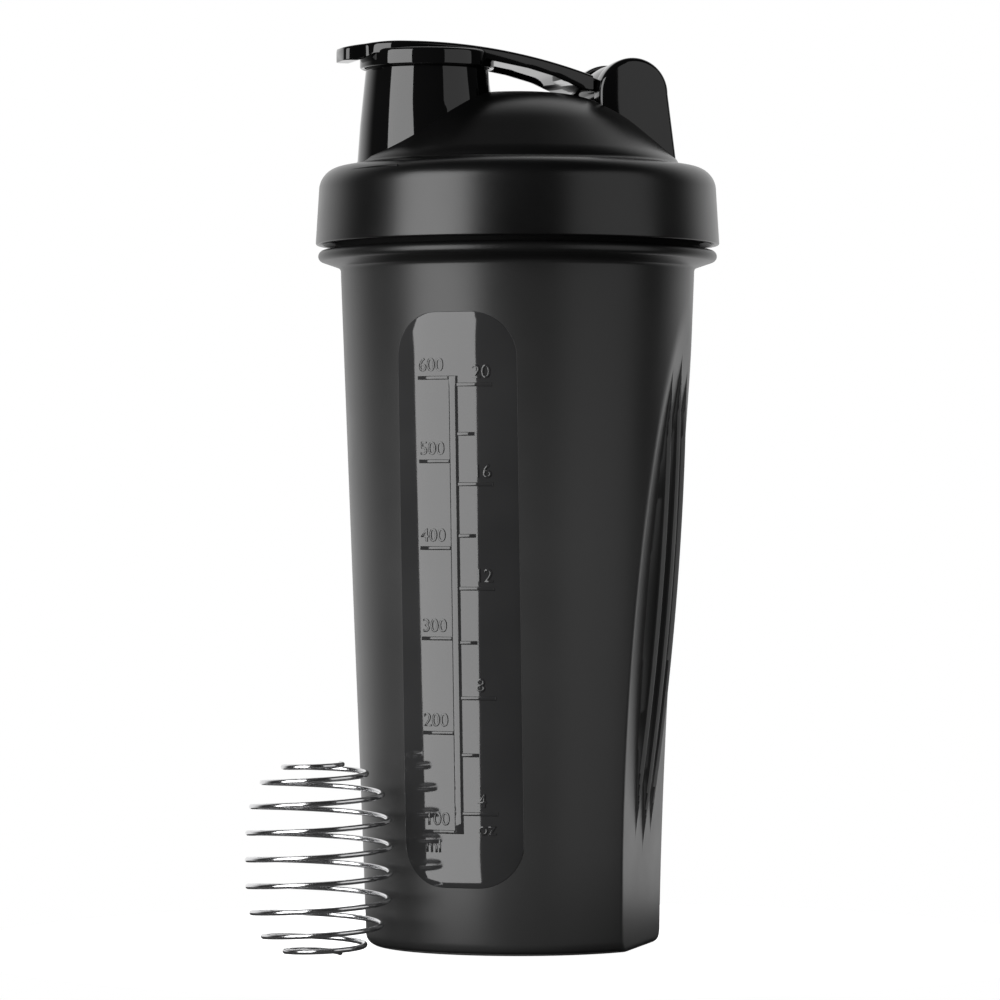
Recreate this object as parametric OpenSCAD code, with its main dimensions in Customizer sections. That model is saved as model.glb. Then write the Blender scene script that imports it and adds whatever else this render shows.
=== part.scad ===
// Protein shaker bottle: tapered cup with two ribbed grips and a clear scale window,
// screw-on lid with a pouring spout, snap-hinged flip cap and a loose wire whisk ball.
// Millimetres. +Z is up, the origin is the centre of the cup's foot, the spout points to -X.

/* [Cup] */
// Height of the cup from its foot to its rim
cup_h = 190; // [186:1:196]
// Outer radius of the wall's cone at the foot
base_r = 37.5; // [37:0.25:38]
// Gain of outer radius per millimetre of height
taper = 0.0382; // [0.036:0.0002:0.040]
// Thickness of the wall
wall = 2; // [1.6:0.1:2.2]
// Height of the inside floor above the foot
floor_z = 5.2; // [4.5:0.1:6]
// Depth of the hollow under the floor
foot_recess = 2.8; // [1:0.1:3]

/* [Grips] */
// Distance from the axis to the grip's hollow face at the foot
grip_d = 31.6; // [31:0.1:32]
// Radius of the grip's hollow face, seen from the side
grip_r = 1030; // [950:10:1100]
// Directions of the two grips, in degrees from +X
grip_angles = [-29.5, 135.7];
// Distance from the axis to the highest point of the middle rib's crest
rib_d = 41.8; // [41.4:0.1:42]
// Radius of the crests, seen from the side
rib_r = 775; // [725:25:825]
// Spacing of the ribs
rib_pitch = 8.1; // [7.5:0.1:8.5]

/* [Window] */
// Direction of the window, in degrees from +X
window_angle = -126.4; // [-150:0.1:-100]
// Width of the window
window_w = 31; // [28:0.5:33]
// Lowest point of the window
window_z0 = 16.8; // [14:0.2:20]
// Highest point of the window
window_z1 = 156; // [150:0.5:158]
// Depth of the window's polished face below the wall
window_depth = 0.25; // [0.2:0.05:0.4]

/* [Lid] */
// Height of the collar's lower edge below the cup's rim
collar_drop = 16.1; // [15:0.1:16.5]
// Rise of the lid over one turn of its thread
lead = 9; // [8.5:0.25:9.5]
// Distance of the spout from the lid's axis
spout_x = 23.2; // [22.5:0.1:24]
// Outer radius of the spout at its mouth
spout_r = 15; // [14.8:0.1:15.2]
// Distance of the hinge from the lid's axis
hinge_x = 25.9; // [25.5:0.1:26.5]
// Height of the hinge above the cup's rim
hinge_up = 21.2; // [21.1:0.1:21.4]

/* [Flip cap] */
// Width of the arm
arm_w = 23; // [20:0.5:26]
// Radius of the disc that closes the spout
disc_r = 16.6; // [16.4:0.1:17]
// Radius of the plug inside the spout
plug_r = 11.8; // [11.4:0.1:12]

/* [Whisk ball] */
// Outer radius of the ball at its middle
ball_r = 18; // [16:0.5:19]
// Height of the ball
ball_h = 47.6; // [44:0.2:50]
// Number of turns of the wire
ball_turns = 9; // [7:1:10]
// Diameter of the wire
wire_d = 1.3; // [1.2:0.1:1.6]
// Place where the ball stands beside the cup
ball_xy = [-54.8, -18.4];

/* [Hidden] */
$fn = 96;

// Cup
neck_r = base_r + taper * cup_h + 0.44;
neck_in_r = base_r + taper * cup_h - wall;
bead_r = 1.45;
bead_c = [neck_r + 2.85, cup_h - 18.9];
bead_slope = 19;
fillet_r = 1.2;
foot_r = 3;
ring_r = 27;
grip_end = 162;
window_corner = 11;

// Scale: the marks stand where each volume fills the cup
fill_share = 0.965;
mark_t = 0.9;
bar_w = 2.3;
long_mark = 8.4;
short_mark = 4.1;
ml_per_oz = 29.57;

// Screw thread
thread_depth = 1.6;
thread_foot = 1.1;
thread_crest = 0.5;
thread_starts = 2;
thread_steps = 40;
thread_z = cup_h - 13.8;

// Lid
collar_z = cup_h - collar_drop;
collar_r = neck_r + 4.9;
collar_top_r = neck_r + 4.1;
collar_in_r = neck_r + 2.3;
round_r = 5.8;
dome_base = [39.6, cup_h + 5.0];
dome_c = [8.3, cup_h - 11.45];
dome_r = 33;
dome_slope = 40.6;
dome_top = dome_c[1] + dome_r;
skin = 2;
spout_flare = 2.4;
seat_z = cup_h + 1.8;
spout_top = cup_h + 28.3;
spout_in_r = spout_r - 2.2;
spout_low = cup_h + 5;
hinge_z = cup_h + hinge_up;
ear_r = 8.85;
ear_in = 9.5;
ear_out = 15;
barrel_r = 8.3;
pin_r = 3;
pin_play = 0.05;
pin_out = 12;
slack = 0.3;

// Flip cap
disc_z0 = cup_h + 27.2;
disc_z1 = cup_h + 31.4;
skirt_t = 1.1;
seal_z1 = cup_h + 29.9;
plug_z0 = cup_h + 18.5;
arm_top = cup_h + 33.25;
arm_bend_x = -29;
arm_bend_r = 140;
arm_root_x = 16.3;
arm_end_x = -29.8;
droop_x = -33;
droop_r = 54;
tab_x = -45.4;
tab_w = 11;
tab_r = 2;

// Whisk ball
ball_power = 3;
ball_end_r = 5.3;
wire_steps = 26;
wire_sides = 8;

function outer_r(z) = base_r + taper * z;
function inner_r(z) = outer_r(z) - wall;
function arc(c, r, a0, a1, n = 8) =
    [for (i = [0:n]) c + r * [cos(a0 + (a1 - a0) * i / n), sin(a0 + (a1 - a0) * i / n)]];
function level(ml) =
    let (r0 = inner_r(floor_z))
    floor_z + (pow(pow(r0, 3) + 3 * taper * ml * 1000 / fill_share / PI, 1 / 3) - r0) / taper;

// Ridge of a screw thread, a trapezoid that fades in and out at its ends.
// side is 1 on an outer thread and -1 on an inner one; root is the wall's radius.
module thread(root, side, turns, z0) {
    n = round(turns * thread_steps);
    sunk = 0.5;
    function fade(i) = min(1, 6 * i / n, 6 * (n - i) / n) * 0.96 + 0.04;
    function ring(i) =
        let (a = 360 * i / thread_steps, z = z0 + lead * i / thread_steps, f = fade(i))
        [for (p = [[-sunk, -thread_foot], [thread_depth * f, -thread_crest],
                   [thread_depth * f, thread_crest], [-sunk, thread_foot]])
            [(root + side * p[0]) * cos(a), (root + side * p[0]) * sin(a), z + p[1]]];
    points = [for (i = [0:n]) each ring(i)];
    walls = [for (i = [0:n - 1]) for (k = [0:3])
        let (a = 4 * i + k, b = 4 * i + (k + 1) % 4) each [[a, b, b + 4], [a, b + 4, a + 4]]];
    ends = [[2, 1, 0], [3, 2, 0], [4 * n, 4 * n + 1, 4 * n + 2], [4 * n, 4 * n + 2, 4 * n + 3]];
    faces = [for (f = concat(walls, ends)) side > 0 ? f : [f[2], f[1], f[0]]];
    for (s = [0:thread_starts - 1]) rotate(360 / thread_starts * s) polyhedron(points, faces);
}

// Outline of the cup's outside, from the axis at the foot to the rim
module cup_outline() {
    foot_c = [outer_r(foot_r) - foot_r, foot_r];
    under = bead_c + bead_r * [sin(bead_slope), -cos(bead_slope)];
    fillet_x = outer_r(under[1]) + fillet_r;
    fillet_c = [fillet_x,
        under[1] - (under[0] - fillet_x) * tan(bead_slope) - fillet_r / cos(bead_slope)];
    polygon(concat(
        [[0, 0]],
        arc(foot_c, foot_r, -90, 0),
        arc(fillet_c, fillet_r, 180, 90 + bead_slope),
        arc(bead_c, bead_r, bead_slope - 90, 90),
        [[neck_r, bead_c[1] + bead_r], [neck_r, cup_h - 0.6], [neck_r - 0.6, cup_h], [0, cup_h]]));
}

module cup_inside() {
    corner = 3.5;
    c = [inner_r(floor_z + corner) - corner, floor_z + corner];
    difference() {
        rotate_extrude() polygon(concat(
            [[0, floor_z]], arc(c, corner, -90, 0),
            [[neck_in_r, cup_h - 0.5], [neck_in_r + 0.6, cup_h + 1], [0, cup_h + 1]]));
        grip_faces(wall);
    }
}

// What the hollow faces of the grips take off the cup, moved in by inset. They end below the bead.
module grip_faces(inset) {
    for (a = grip_angles) rotate(a) translate([grip_d + grip_r, 0, 0]) rotate([90, 0, 0])
        cylinder(r = grip_r + inset, h = 120, center = true, $fn = 720);
}

// Upright rib of triangular section whose crest is an arc
module rib(offset_y, drop) {
    depth = 7;
    translate([rib_d - drop - rib_r, offset_y, 150]) rotate([90, 0, 0]) rotate([0, 0, -10])
        rotate_extrude(angle = 11, $fn = 720)
            polygon([[rib_r, 0], [rib_r - depth, depth], [rib_r - depth, -depth]]);
}

module grip_ribs() {
    crown_r = 55;
    for (a = grip_angles, k = [-2:2])
        rotate(a) rib(k * rib_pitch, pow(k * rib_pitch, 2) / 2 / crown_r);
}

module window_outline() {
    w = window_w / 2 - window_corner;
    for (x = [-w, w], z = [window_z0 + window_corner, window_z1 - window_corner])
        translate([x, z]) circle(window_corner);
    translate([-w, window_z0]) square([2 * w, window_z1 - window_z0]);
    translate([-window_w / 2, window_z0 + window_corner])
        square([window_w, window_z1 - window_z0 - 2 * window_corner]);
}

// Bar with millilitre marks to its left and ounce marks to its right
module scale_marks() {
    translate([-bar_w / 2, level(100)]) square([bar_w, level(600) - level(100) + mark_t / 2]);
    for (ml = [100:100:600])
        translate([-bar_w / 2 - long_mark, level(ml) - mark_t / 2]) square([long_mark + 0.1, mark_t]);
    for (oz = [4:2:20])
        translate([bar_w / 2 - 0.1, level(oz * ml_per_oz) - mark_t / 2])
            square([(oz % 4 == 0 ? long_mark : short_mark) + 0.1, mark_t]);
}

// Shallow polished recess with the scale standing in it
module window_recess() {
    reach = 60;
    intersection() {
        rotate(window_angle) rotate([90, 0, 90]) linear_extrude(reach) difference() {
            window_outline();
            scale_marks();
        }
        difference() {
            translate([0, 0, 1]) cylinder(r1 = outer_r(1) + 3, r2 = outer_r(165) + 3, h = 164);
            cylinder(r1 = base_r - window_depth, r2 = outer_r(170) - window_depth, h = 170);
        }
    }
}

module cup() {
    color("#303032") difference() {
        union() {
            difference() {
                rotate_extrude() cup_outline();
                intersection() {
                    grip_faces(0);
                    translate([0, 0, -1]) cylinder(r = 60, h = grip_end + 1);
                }
            }
            grip_ribs();
            thread(neck_r, 1, 1.25, thread_z);
        }
        cup_inside();
        window_recess();
        translate([0, 0, -1]) cylinder(r = ring_r, h = foot_recess + 1);
    }
}

// Silicone ring between the cup's rim and the lid
module lid_gasket() {
    color("#1a1a1a") rotate_extrude() polygon([
        [neck_in_r + 0.3, cup_h + slack], [neck_r, cup_h + slack], [neck_r + 0.2, cup_h + 0.6],
        [neck_r + 0.2, seat_z - slack], [neck_in_r + 0.3, seat_z - slack]]);
}

// Outside of the lid without its spout and ears, filled solid
module lid_outline() {
    c = [collar_top_r - round_r, cup_h + 3.2 - round_r];
    polygon(concat(
        [[0, collar_z], [collar_r - 0.5, collar_z], [collar_r, collar_z + 0.6]],
        arc(c, round_r, 0, 80),
        [[dome_base[0] + 0.4, cup_h + 4], dome_base],
        arc(dome_c, dome_r, 90 - dome_slope, 90, 12),
        [[0, dome_top]]));
}

// Space inside the lid: the thread's wall, the gasket's groove, the plug ring and the dome
module lid_space() {
    ring_out = neck_in_r - 0.45;
    ring_in = ring_out - 1.6;
    polygon(concat([
        [0, collar_z - 1], [collar_in_r + 0.8, collar_z - 1], [collar_in_r + 0.8, collar_z],
        [collar_in_r, collar_z + 1.2], [collar_in_r, cup_h - 0.6], [collar_in_r - 1.9, seat_z],
        [ring_out, seat_z], [ring_out, cup_h - 3.4], [ring_out - 0.5, cup_h - 4], [ring_in, cup_h - 4],
        [ring_in, seat_z + 0.8], [dome_base[0] - 1.4, dome_base[1] - 1.6]],
        arc(dome_c, dome_r - skin, 90 - dome_slope, 90, 12),
        [[0, dome_top - skin]]));
}

module ear_outline() {
    translate([hinge_x, hinge_z]) circle(ear_r);
    polygon([[hinge_x - ear_r, hinge_z], [hinge_x + ear_r, hinge_z],
             [37, cup_h + 4], [hinge_x - ear_r, cup_h + 4]]);
}

module ears() {
    for (y = [ear_in, -ear_out])
        translate([0, y + ear_out - ear_in, 0]) rotate([90, 0, 0])
            linear_extrude(ear_out - ear_in) ear_outline();
}

module across_hinge(r, w) {
    translate([hinge_x, 0, hinge_z]) rotate([90, 0, 0]) cylinder(r = r, h = w, center = true);
}

module lid() {
    color("#161617") difference() {
        union() {
            rotate_extrude() lid_outline();
            translate([-spout_x, 0, spout_low])
                cylinder(r1 = spout_r + spout_flare, r2 = spout_r, h = spout_top - spout_low);
            ears();
        }
        difference() {
            rotate_extrude() lid_space();
            across_hinge(barrel_r + 0.4 + skin, 2 * ear_in + 2 * skin);
            thread(collar_in_r, -1, 1.1, thread_z + lead / thread_starts / 2);
        }
        across_hinge(barrel_r + 0.4, 2 * ear_in);
        across_hinge(pin_r + pin_play, 2 * (pin_out + slack));
        translate([-spout_x, 0, spout_low - 12]) cylinder(r = spout_in_r, h = 40);
    }
}

// Side view of the arm, from the tab round to the hinge barrel
module arm_outline() {
    slope = asin((arm_root_x - arm_bend_x) / arm_bend_r);
    bend_c = [arm_bend_x, arm_top - arm_bend_r];
    droop_c = [droop_x, arm_top - droop_r];
    droop = asin((droop_x - tab_x - 0.5) / droop_r);
    root_x = hinge_x - barrel_r + 0.4;
    root_z = arm_top - arm_bend_r * (1 - cos(slope)) - (root_x - arm_root_x) * tan(slope);
    under = dome_top + 0.4;
    polygon(concat(
        [[tab_x, arm_top - 4.6], [tab_x, arm_top - 1.9]],
        arc(droop_c, droop_r, 90 + droop, 90),
        arc(bend_c, arm_bend_r, 90, 90 - slope, 12),
        [[root_x, root_z], [root_x + 3, root_z], [root_x + 3, under], [14.7, under],
         [13, arm_top - 10.65], [9.1, arm_top - 9.05], [6.6, arm_top - 7.95], [0, arm_top - 6.15],
         [-12.7, arm_top - 3.85], [-31.5, arm_top - 2.85], [-38.5, arm_top - 3.1],
         [-40.5, arm_top - 4.2], [-42, arm_top - 4.6]]));
}

// Plan of the arm: round end with a thumb tab, and a narrow root between the ears
module arm_plan() {
    root_w = 2 * (ear_in - slack);
    translate([arm_end_x, 0]) circle(arm_w / 2);
    translate([arm_end_x, -arm_w / 2]) square([arm_root_x - arm_end_x, arm_w]);
    for (y = [-1, 1]) translate([tab_x + tab_r, y * (tab_w / 2 - tab_r)]) circle(tab_r);
    translate([tab_x, -tab_w / 2 + tab_r]) square([tab_r, tab_w - 2 * tab_r]);
    translate([tab_x + tab_r, -tab_w / 2]) square([8, tab_w]);
    translate([0, -root_w / 2]) square([hinge_x, root_w]);
}

module flip_cap() {
    color("#0c0c0d") difference() {
        union() {
            intersection() {
                rotate([90, 0, 0]) linear_extrude(60, center = true) arm_outline();
                translate([0, 0, cup_h]) linear_extrude(60) arm_plan();
            }
            across_hinge(barrel_r, 2 * (ear_in - slack));
            across_hinge(pin_r, 2 * pin_out);
            translate([-spout_x, 0, disc_z0]) cylinder(r = disc_r, h = disc_z1 - disc_z0);
            translate([-spout_x, 0, plug_z0]) cylinder(r1 = plug_r - 0.4, r2 = plug_r, h = disc_z1 - plug_z0);
        }
        translate([-spout_x, 0, disc_z0 - 1]) difference() {
            cylinder(r = disc_r - skirt_t, h = seal_z1 - disc_z0 + 1);
            cylinder(r = plug_r, h = seal_z1 - disc_z0 + 1);
        }
        translate([-spout_x, 0, plug_z0 - 1]) cylinder(r = plug_r - 2, h = disc_z1 - plug_z0 - 1);
    }
}

// Silicone ring around the plug that lies on the spout's mouth
module spout_seal() {
    color("#242424") translate([-spout_x, 0, spout_top + slack]) difference() {
        cylinder(r = disc_r - skirt_t - 0.1, h = seal_z1 - spout_top - slack);
        translate([0, 0, -1]) cylinder(r = plug_r + 0.1, h = 10);
    }
}

// One springy wire wound as a barrel-shaped coil, open at both ends
module whisk_ball() {
    n = ball_turns * wire_steps;
    half = ball_h / 2 - wire_d / 2;
    wide = ball_r - wire_d / 2;
    tip = atan2(half, ball_end_r);
    samples = 80;
    // Point of the barrel's outline in the direction a, in degrees from its middle
    function side(a) =
        [cos(a), sin(a)] / pow(pow(cos(a) / wide, ball_power) + pow(abs(sin(a)) / half, ball_power), 1 / ball_power);
    function direction(i) = tip * (2 * i / samples - 1);
    // Directions against length along the outline, so that the turns are evenly spaced
    along_side = [for (i = 0, s = 0; i <= samples;
        s = s + norm(side(direction(i + 1)) - side(direction(i))), i = i + 1) [s, direction(i)]];
    side_length = along_side[samples][0];
    function place(i) =
        let (p = side(lookup(side_length * min(max(i / n, 0), 1), along_side)), a = 360 * i / wire_steps)
        [p[0] * cos(a), p[0] * sin(a), p[1]];
    function unit(v) = v / norm(v);
    function ring(i) =
        let (at = place(i), along = unit(place(i + 0.5) - place(i - 0.5)),
             away = unit([at[0], at[1], at[2] / 2]),
             u = unit(cross(along, away)), v = cross(u, along))
        [for (k = [0:wire_sides - 1])
            let (b = 360 * k / wire_sides) at + wire_d / 2 * (cos(b) * u + sin(b) * v)];
    points = [for (i = [0:n]) each ring(i)];
    walls = [for (i = [0:n - 1]) for (k = [0:wire_sides - 1])
        let (a = wire_sides * i + k, b = wire_sides * i + (k + 1) % wire_sides)
        each [[a, b, b + wire_sides], [a, b + wire_sides, a + wire_sides]]];
    ends = [for (k = [1:wire_sides - 2])
        each [[0, k + 1, k], wire_sides * n * [1, 1, 1] + [0, k, k + 1]]];
    color("#c8c8cc") translate([ball_xy[0], ball_xy[1], ball_h / 2])
        polyhedron(points, concat(walls, ends));
}

cup();
lid_gasket();
lid();
flip_cap();
spout_seal();
whisk_ball();
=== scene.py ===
"""Looks of the protein shaker bottle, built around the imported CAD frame."""

import math

import bmesh
import bpy
import numpy as np
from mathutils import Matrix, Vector


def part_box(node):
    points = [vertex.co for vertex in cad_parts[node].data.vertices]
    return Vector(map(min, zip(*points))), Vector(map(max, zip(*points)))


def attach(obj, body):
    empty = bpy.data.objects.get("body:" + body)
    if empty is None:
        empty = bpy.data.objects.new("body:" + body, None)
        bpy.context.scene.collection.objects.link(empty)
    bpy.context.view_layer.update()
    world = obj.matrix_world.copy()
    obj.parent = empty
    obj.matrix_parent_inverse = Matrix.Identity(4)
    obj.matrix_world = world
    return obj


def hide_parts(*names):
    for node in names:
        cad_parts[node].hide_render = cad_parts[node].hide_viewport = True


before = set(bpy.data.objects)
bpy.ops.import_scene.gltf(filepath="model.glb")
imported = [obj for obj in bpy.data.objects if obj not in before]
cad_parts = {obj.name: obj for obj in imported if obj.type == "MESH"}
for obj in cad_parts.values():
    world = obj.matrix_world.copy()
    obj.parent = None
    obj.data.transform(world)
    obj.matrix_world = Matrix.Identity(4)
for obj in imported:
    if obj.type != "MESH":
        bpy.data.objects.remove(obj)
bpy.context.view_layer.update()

MM = 0.001
scene = bpy.context.scene

# ---------------------------------------------------------------- the design's sizes, in millimetres
FOOT_R, TAPER, WALL = 37.5, 0.0382, 2.0
RIM_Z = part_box("cup")[1].z / MM
FLOOR_Z, RECESS_Z, RECESS_R = 5.2, 2.8, 27.0
STAND_R, FOOT_ROUND, FOOT_RISE = 29.5, 3.0, 0.4
NECK_R = FOOT_R + TAPER * RIM_Z + 0.44
NECK_IN_R = FOOT_R + TAPER * RIM_Z - WALL
BEAD_R = 1.45
BEAD = (NECK_R + 2.85, RIM_Z - 18.9)
BEAD_SLOPE, FILLET_R = math.radians(19), 1.2

GRIP_ANGLES = (-29.5, 135.7)
GRIP_D, GRIP_R, GRIP_END = 31.6, 1030.0, 162.0
RIB_D, RIB_R, RIB_TOP_Z, RIB_PITCH, RIB_CROWN, RIB_STEEP = 41.8, 775.0, 150.0, 8.1, 55.0, 2.6

WINDOW_ANGLE = -126.4
WINDOW_HALF, WINDOW_LOW, WINDOW_HIGH, WINDOW_CORNER = 15.5, 16.8, 156.0, 11.0
WINDOW_PROUD = 0.10
FILL_SHARE, ML_PER_OZ = 0.965, 29.57
MARK_UP, MARK_T, BAR_HALF, LONG_MARK, SHORT_MARK = 0.22, 0.9, 1.15, 8.4, 4.1
NUMERAL_SIZE = 4.6

LEAD, THREAD_DEPTH = 9.0, 1.6
COLLAR_Z = RIM_Z - 16.1
COLLAR_R, COLLAR_TOP_R, COLLAR_IN_R = NECK_R + 4.9, NECK_R + 4.1, NECK_R + 2.3
SEAT_Z = RIM_Z + 1.8
DOME_X, DOME_Z, DOME_R, DOME_SLOPE = 8.3, RIM_Z - 11.45, 33.0, 40.6
DOME_TOP = DOME_Z + DOME_R
SPOUT_X, SPOUT_R, SPOUT_IN_R = -23.2, 15.0, 12.8
SPOUT_TOP, SPOUT_LOW, SPOUT_FLARE = RIM_Z + 28.3, RIM_Z + 5, 2.4
HINGE_X, HINGE_Z = 25.9, RIM_Z + 21.2
EAR_R, EAR_IN, EAR_OUT, EAR_FOOT_X = 8.85, 9.5, 15.0, 37.0
BARREL_R = 8.3

DISC_R, DISC_LOW, DISC_HIGH = 16.6, RIM_Z + 27.2, RIM_Z + 31.4
PLUG_R, PLUG_LOW = 11.8, RIM_Z + 18.5
SEAL_HIGH = RIM_Z + 29.9
ARM_TOP, ARM_HALF = RIM_Z + 33.25, 11.5
ARM_BEND_X, ARM_BEND_R, ARM_ROOT_X, ARM_END_X = -29.0, 140.0, 16.3, -29.8
DROOP_X, DROOP_R = -33.0, 54.0
TAB_X, TAB_HALF, TAB_R = -45.35, 5.5, 2.0

BALL_XY = (-54.8, -18.4)
BALL_R, BALL_H, BALL_TURNS, WIRE_D, BALL_END_R, BALL_POWER = 18.0, 47.6, 9, 1.3, 5.3, 3.0

# painted light on the smoke plastic, as shares of its colour: a painted highlight at a rib's tip, painted
# shade where the plastic is thick and painted shade high on the cup
RIB_TIP_PAINTED_HIGHLIGHT, THICK_PAINTED_SHADE, HIGH_PAINTED_SHADE = 7.0, 0.3, 0.45
# depth in metres of the moulded grain and of the faint waves in polished plastic
GRAIN, WAVE = 0.000006, 0.00002


# ---------------------------------------------------------------- camera
VIEW_TURN = math.radians(-15)
VIEW_BACK = Vector((math.sin(VIEW_TURN), -math.cos(VIEW_TURN), 0))
VIEW_RIGHT = Vector((math.cos(VIEW_TURN), math.sin(VIEW_TURN), 0))


def make_camera():
    """A long lens in front of the scale's side, turned 15 degrees towards the spout and nearly level."""
    data = bpy.data.cameras.new("camera")
    data.lens, data.sensor_width = 184, 36
    data.clip_start, data.clip_end = 0.01, 20
    camera = bpy.data.objects.new("camera", data)
    scene.collection.objects.link(camera)
    aim = -0.00435 * VIEW_RIGHT + Vector((0, 0, 0.1107))
    camera.location = aim + 1.27 * VIEW_BACK - Vector((0, 0, 0.0027))
    camera.rotation_euler = (aim - camera.location).to_track_quat("-Z", "Y").to_euler()
    scene.camera = camera


# ---------------------------------------------------------------- small helpers
def arc(cx, cz, r, a0, a1, n):
    """Points of an arc in the (radius, height) plane, angles in degrees."""
    return [(cx + r * math.cos(math.radians(a0 + (a1 - a0) * i / n)),
             cz + r * math.sin(math.radians(a0 + (a1 - a0) * i / n))) for i in range(n + 1)]


def line(a, b, step):
    """Points from a to b about step apart, without b itself."""
    n = max(1, round(math.dist(a, b) / step))
    return [(a[0] + (b[0] - a[0]) * i / n, a[1] + (b[1] - a[1]) * i / n) for i in range(n)]


def smooth_min(a, b, k):
    """The smaller of a and b, blended where they are within k of each other."""
    h = np.maximum(k - np.abs(a - b), 0) / k
    return np.minimum(a, b) - h * h * k / 4


def smooth_max(a, b, k):
    """The larger of a and b, blended where they are within k of each other."""
    return -smooth_min(-a, -b, k)


def add_object(name, points, faces, sharp=35):
    """A mesh object from points in millimetres, smooth except at edges over the sharp angle."""
    mesh = bpy.data.meshes.new(name)
    mesh.from_pydata([(x * MM, y * MM, z * MM) for x, y, z in points], [], faces)
    mesh.validate()
    obj = bpy.data.objects.new(name, mesh)
    scene.collection.objects.link(obj)
    finish_mesh(obj, sharp)
    return obj


def finish_mesh(obj, sharp=35):
    """Welds doubles, points normals outwards and shades smooth up to the sharp angle."""
    bm = bmesh.new()
    bm.from_mesh(obj.data)
    bmesh.ops.remove_doubles(bm, verts=bm.verts, dist=0.002 * MM)
    bmesh.ops.dissolve_degenerate(bm, edges=bm.edges, dist=0.002 * MM)
    bmesh.ops.recalc_face_normals(bm, faces=bm.faces)
    bm.to_mesh(obj.data)
    bm.free()
    obj.data.polygons.foreach_set("use_smooth", [True] * len(obj.data.polygons))
    obj.data.set_sharp_from_angle(angle=math.radians(sharp))


def grid_faces(rows, columns, closed_rows=False, closed_columns=True):
    """Quads of a grid of points stored row by row."""
    faces = []
    for i in range(rows if closed_rows else rows - 1):
        a, b = i * columns, (i + 1) % rows * columns
        for j in range(columns if closed_columns else columns - 1):
            k = (j + 1) % columns
            faces.append((a + j, a + k, b + k, b + j))
    return faces


def revolve(name, outline, centre=(0, 0), columns=192, closed=True, sharp=35):
    """Turns an outline of (radius, height) points round a vertical axis. A closed outline is a ring."""
    points = [(centre[0] + r * math.cos(a), centre[1] + r * math.sin(a), z)
              for r, z in outline
              for a in (2 * math.pi * j / columns for j in range(columns))]
    return add_object(name, points, grid_faces(len(outline), columns, closed_rows=closed), sharp)


def join(name, objects):
    """Joins objects into the first one, each closed shell as it is."""
    bpy.ops.object.select_all(action="DESELECT")
    for obj in objects:
        obj.select_set(True)
    bpy.context.view_layer.objects.active = objects[0]
    bpy.ops.object.join()
    objects[0].name = objects[0].data.name = name
    return objects[0]


def boolean(obj, other, operation):
    """Adds other to obj or takes it away, and deletes other."""
    modifier = obj.modifiers.new("cut", "BOOLEAN")
    modifier.operation, modifier.solver, modifier.object = operation, "EXACT", other
    bpy.context.view_layer.update()
    mesh = bpy.data.meshes.new_from_object(obj.evaluated_get(bpy.context.evaluated_depsgraph_get()))
    obj.modifiers.remove(modifier)
    obj.data = mesh
    bpy.data.objects.remove(other)
    return obj


def across_hinge(name, radius, half_width, edge=0.0, columns=128):
    """A round bar along the hinge axis, with rounded rims if edge is given."""
    rim = [(radius, half_width)] if not edge else arc(radius - edge, half_width - edge, edge, 0, 90, 4)
    outline = [(0.0, half_width)] + rim[::-1] + [(r, -w) for r, w in rim] + [(0.0, -half_width)]
    points = [(HINGE_X + r * math.cos(a), w, HINGE_Z + r * math.sin(a))
              for r, w in outline for a in (2 * math.pi * j / columns for j in range(columns))]
    return add_object(name, points, grid_faces(len(outline), columns), 35)


# ---------------------------------------------------------------- materials
def new_material(name, colour, roughness, ior=1.49, metallic=0.0, specular=0.5):
    """A Principled material with its constants on its own sockets."""
    material = bpy.data.materials.new(name)
    material.use_nodes = True
    shader = material.node_tree.nodes["Principled BSDF"]
    shader.inputs["Base Color"].default_value = (*colour, 1)
    shader.inputs["Roughness"].default_value = roughness
    shader.inputs["IOR"].default_value = ior
    shader.inputs["Metallic"].default_value = metallic
    shader.inputs["Specular IOR Level"].default_value = specular
    return material


def node(material, kind, **inputs):
    """Adds a node and sets or links its inputs by name."""
    made = material.node_tree.nodes.new(kind)
    for name, value in inputs.items():
        socket = made.inputs[name.replace("_", " ")]
        if isinstance(value, bpy.types.NodeSocket):
            material.node_tree.links.new(value, socket)
        else:
            socket.default_value = value
    return made


def vary(material, socket, noise, low, high):
    """Drives a shader input between two values by a noise."""
    shader = material.node_tree.nodes["Principled BSDF"]
    spread = node(material, "ShaderNodeMapRange", Value=noise, To_Min=low, To_Max=high)
    spread.inputs["From Min"].default_value = 0.3
    spread.inputs["From Max"].default_value = 0.7
    material.node_tree.links.new(spread.outputs["Result"], shader.inputs[socket])


def tint(material, noise, low, high):
    """Varies the base colour between two colours by a noise."""
    ramp = node(material, "ShaderNodeValToRGB", Fac=noise)
    ramp.color_ramp.elements[0].position, ramp.color_ramp.elements[1].position = 0.3, 0.7
    ramp.color_ramp.elements[0].color = (*low, 1)
    ramp.color_ramp.elements[1].color = (*high, 1)
    shader = material.node_tree.nodes["Principled BSDF"]
    material.node_tree.links.new(ramp.outputs["Color"], shader.inputs["Base Color"])


def noise_at(material, scale, detail=2.0, stretch=(1, 1, 1)):
    """Noise fixed to the object, scale in cells per metre."""
    place = node(material, "ShaderNodeTexCoord").outputs["Object"]
    spread = node(material, "ShaderNodeMapping", Vector=place, Scale=stretch)
    return node(material, "ShaderNodeTexNoise", Vector=spread.outputs["Vector"], Scale=scale, Detail=detail)


def bump(material, height, distance):
    """Bumps of up to distance metres from a height between 0 and 1."""
    shader = material.node_tree.nodes["Principled BSDF"]
    made = node(material, "ShaderNodeBump", Height=height, Strength=1.0, Distance=distance)
    material.node_tree.links.new(made.outputs["Normal"], shader.inputs["Normal"])


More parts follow.
